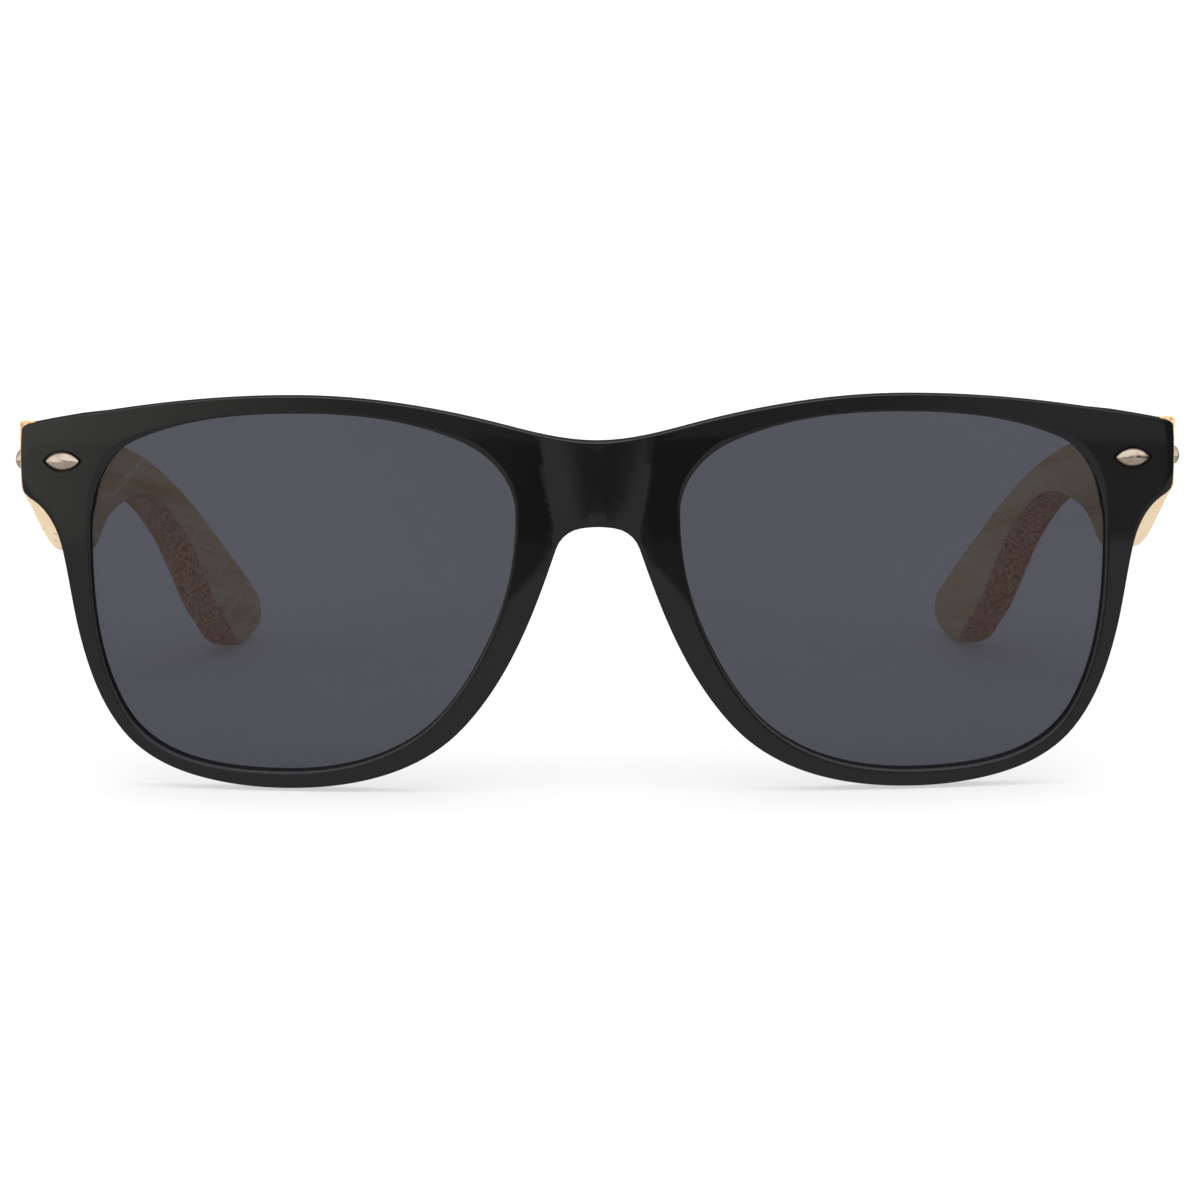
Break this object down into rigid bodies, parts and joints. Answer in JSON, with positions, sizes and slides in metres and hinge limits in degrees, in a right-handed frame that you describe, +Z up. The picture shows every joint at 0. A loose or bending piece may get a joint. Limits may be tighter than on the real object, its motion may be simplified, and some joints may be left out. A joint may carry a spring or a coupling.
{
  "type": "sunglasses",
  "caption": "Full-rim sunglasses with a bent gloss front, smoke lenses and flat bamboo temples that fold on barrel hinges.",
  "frame": {"origin": "on the shelf under the middle of the open frame's box", "axes": "+X to the wearer's left across the front, +Y from the front back to the temple tips, +Z up"},
  "size_m": [0.1482, 0.1528, 0.0491],
  "materials": {
    "front": "black, moulded gloss",
    "lens": "smoke-grey tint, clear polish",
    "bamboo": "bamboo, sanded, with browner cut edges",
    "hinge": "stamped nickel silver",
    "screw": "bright steel",
    "rivet": "polished"
  },
  "bodies": {
    "front": {"front_frame": "front", "lens_left": "lens", "lens_right": "lens", "front_leaf_left": "hinge", "front_leaf_right": "hinge", "hinge_screw_left": "screw", "hinge_screw_right": "screw", "front_rivet_left": "rivet", "front_rivet_right": "rivet"},
    "temple_left": {"temple_left": "bamboo", "temple_leaf_left": "hinge", "temple_rivet_left": "rivet", "leaf_screws_left": "screw"},
    "temple_right": {"temple_right": "bamboo", "temple_leaf_right": "hinge", "temple_rivet_right": "rivet", "leaf_screws_right": "screw"}
  },
  "joints": [
    {"name": "fold_left", "type": "hinge", "parent": "front", "child": "temple_left", "pos_m": [0.0671, -0.06044, 0.041], "axis": [0, 0, 1], "range_deg": [0, 84]},
    {"name": "fold_right", "type": "hinge", "parent": "front", "child": "temple_right", "pos_m": [-0.0671, -0.06044, 0.041], "axis": [0, 0, -1], "range_deg": [0, 78]}
  ]
}
